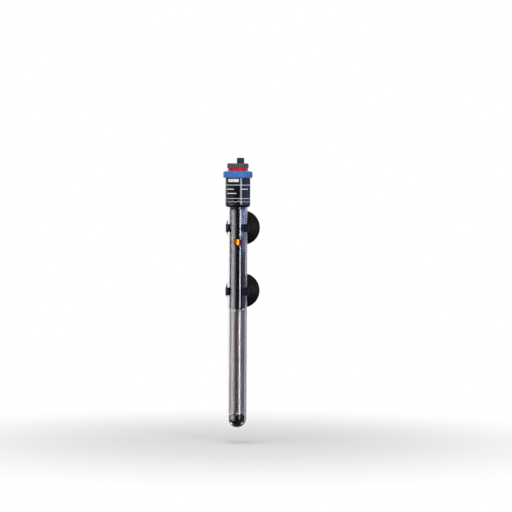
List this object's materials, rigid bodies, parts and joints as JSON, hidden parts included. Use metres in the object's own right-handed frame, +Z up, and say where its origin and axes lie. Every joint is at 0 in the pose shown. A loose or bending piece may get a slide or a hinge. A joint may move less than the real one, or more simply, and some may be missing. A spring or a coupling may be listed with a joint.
{
  "type": "submersible aquarium heater",
  "caption": "Upright glass tube heater with a wound element, lamp and thermostat inside, a dial head with a setting knob, and snap clips with suction cups.",
  "frame": {"origin": "centre of the upper suction cup's contact face, where it meets the aquarium wall", "axes": "+Z up along the tube, +Y out of the contact faces into the aquarium wall, so the heater's front faces about -Y"},
  "size_m": [0.0406, 0.047, 0.3135],
  "materials": {
    "glass": "clear drawn borosilicate tube, polished",
    "resistance_wire": "bright drawn resistance wire",
    "white_ceramic": "unglazed fired ceramic",
    "dark_ceramic": "dark unglazed ceramic",
    "silicone": "dark silicone, matt",
    "sleeve_film": "dark heat-proof sleeve, smooth",
    "lamp_red": "clear red moulded lens, lit from behind",
    "lamp_glass": "small glow lamp, orange when lit",
    "resistor_body": "lacquered resistor body",
    "board_laminate": "paper laminate board, sawn edges",
    "capacitor_box": "potted capacitor box",
    "bright_metal": "drawn aluminium case",
    "brass": "machined brass",
    "bimetal": "rolled two-metal strip",
    "contact_silver": "polished silver contact",
    "magnet": "pressed ferrite",
    "nut_plastic": "natural moulded plastic",
    "seal_rubber": "black rubber, matt",
    "brown_insulation": "brown wire insulation",
    "blue_insulation": "blue wire insulation",
    "housing_navy": "very dark blue moulded plastic, glossy",
    "plug_black": "black moulded plastic, satin",
    "scale_blue": "mid blue moulded plastic, semi-gloss",
    "pointer_red": "bright red moulded plastic, semi-gloss",
    "knob_grey": "mid grey moulded plastic, satin",
    "gland_rubber": "black moulded rubber, satin",
    "clip_navy": "near-black blue moulded plastic, semi-gloss",
    "cup_rubber": "black moulded rubber, smooth"
  },
  "bodies": {
    "upper_sucker": {"upper_cup": "cup_rubber"},
    "upper_holder": {"upper_clip": "clip_navy"},
    "heater": {"glass_tube": "glass", "heating_wire": "resistance_wire", "ceramic_core": "white_ceramic", "lower_element_cap": "dark_ceramic", "bottom_cushion": "silicone", "upper_element_cap": "dark_ceramic", "light_sleeve": "sleeve_film", "lamp_lens": "lamp_red", "neon_lamp": "lamp_glass", "lamp_resistor": "resistor_body", "thermostat_board": "board_laminate", "capacitor": "capacitor_box", "thermal_fuse": "bright_metal", "terminal_post": "brass", "fixed_contact": "brass", "snap_magnet": "magnet", "spindle_seal": "seal_rubber", "spindle_washer": "brass", "live_lead": "brown_insulation", "neutral_lead": "blue_insulation", "head_housing": "housing_navy", "glass_seal": "seal_rubber", "head_plug": "plug_black", "plug_seal": "seal_rubber", "scale_ring": "scale_blue", "cable_gland": "gland_rubber"},
    "lower_holder": {"lower_clip": "clip_navy"},
    "lower_sucker": {"lower_cup": "cup_rubber"},
    "knob": {"setting_knob": "knob_grey"},
    "pointer": {"pointer_ring": "pointer_red"},
    "spindle": {"setting_spindle": "brass"},
    "nut": {"setting_nut": "nut_plastic"},
    "switch_arm": {"bimetal_strip": "bimetal", "moving_contact": "contact_silver"}
  },
  "joints": [
    {"name": "upper_swivel", "type": "hinge", "parent": "upper_sucker", "child": "upper_holder", "pos_m": [0, -0.015, 0], "axis": [0, 1, 0], "continuous": true},
    {"name": "heater_slide", "type": "slide", "parent": "upper_holder", "child": "heater", "axis": [0, 0, 1], "range_m": [-0.018, 0.014]},
    {"name": "lower_slide", "type": "slide", "parent": "heater", "child": "lower_holder", "axis": [0, 0, 1], "range_m": [-0.12, 0.016]},
    {"name": "lower_swivel", "type": "hinge", "parent": "lower_holder", "child": "lower_sucker", "pos_m": [0, -0.015, -0.0735], "axis": [0, 1, 0], "continuous": true},
    {"name": "knob_turn", "type": "hinge", "parent": "heater", "child": "knob", "pos_m": [0, -0.03, 0.072], "axis": [0, 0, 1], "range_deg": [-120, 120]},
    {"name": "pointer_turn", "type": "hinge", "parent": "knob", "child": "pointer", "pos_m": [0, -0.03, 0.068], "axis": [0, 0, 1], "range_deg": [-25, 25]},
    {"name": "spindle_turn", "type": "hinge", "parent": "heater", "child": "spindle", "pos_m": [-0.00587, -0.03125, 0.069], "axis": [0, 0, 1], "range_deg": [-360, 360]},
    {"name": "nut_travel", "type": "slide", "parent": "heater", "child": "nut", "axis": [0, 0, 1], "range_m": [-0.0015, 0.0015]},
    {"name": "switch_swing", "type": "hinge", "parent": "heater", "child": "switch_arm", "pos_m": [-0.00073, -0.02658, -0.0548], "axis": [-0.9781, -0.2079, 0], "range_deg": [0, 1.2], "stiffness_Nm_per_rad": 0.05}
  ],
  "couplings": [
    {"joint": "spindle_turn", "follows": "knob_turn", "ratio": 3},
    {"joint": "nut_travel", "follows": "knob_turn", "m_per_rad": -0.0007162}
  ]
}
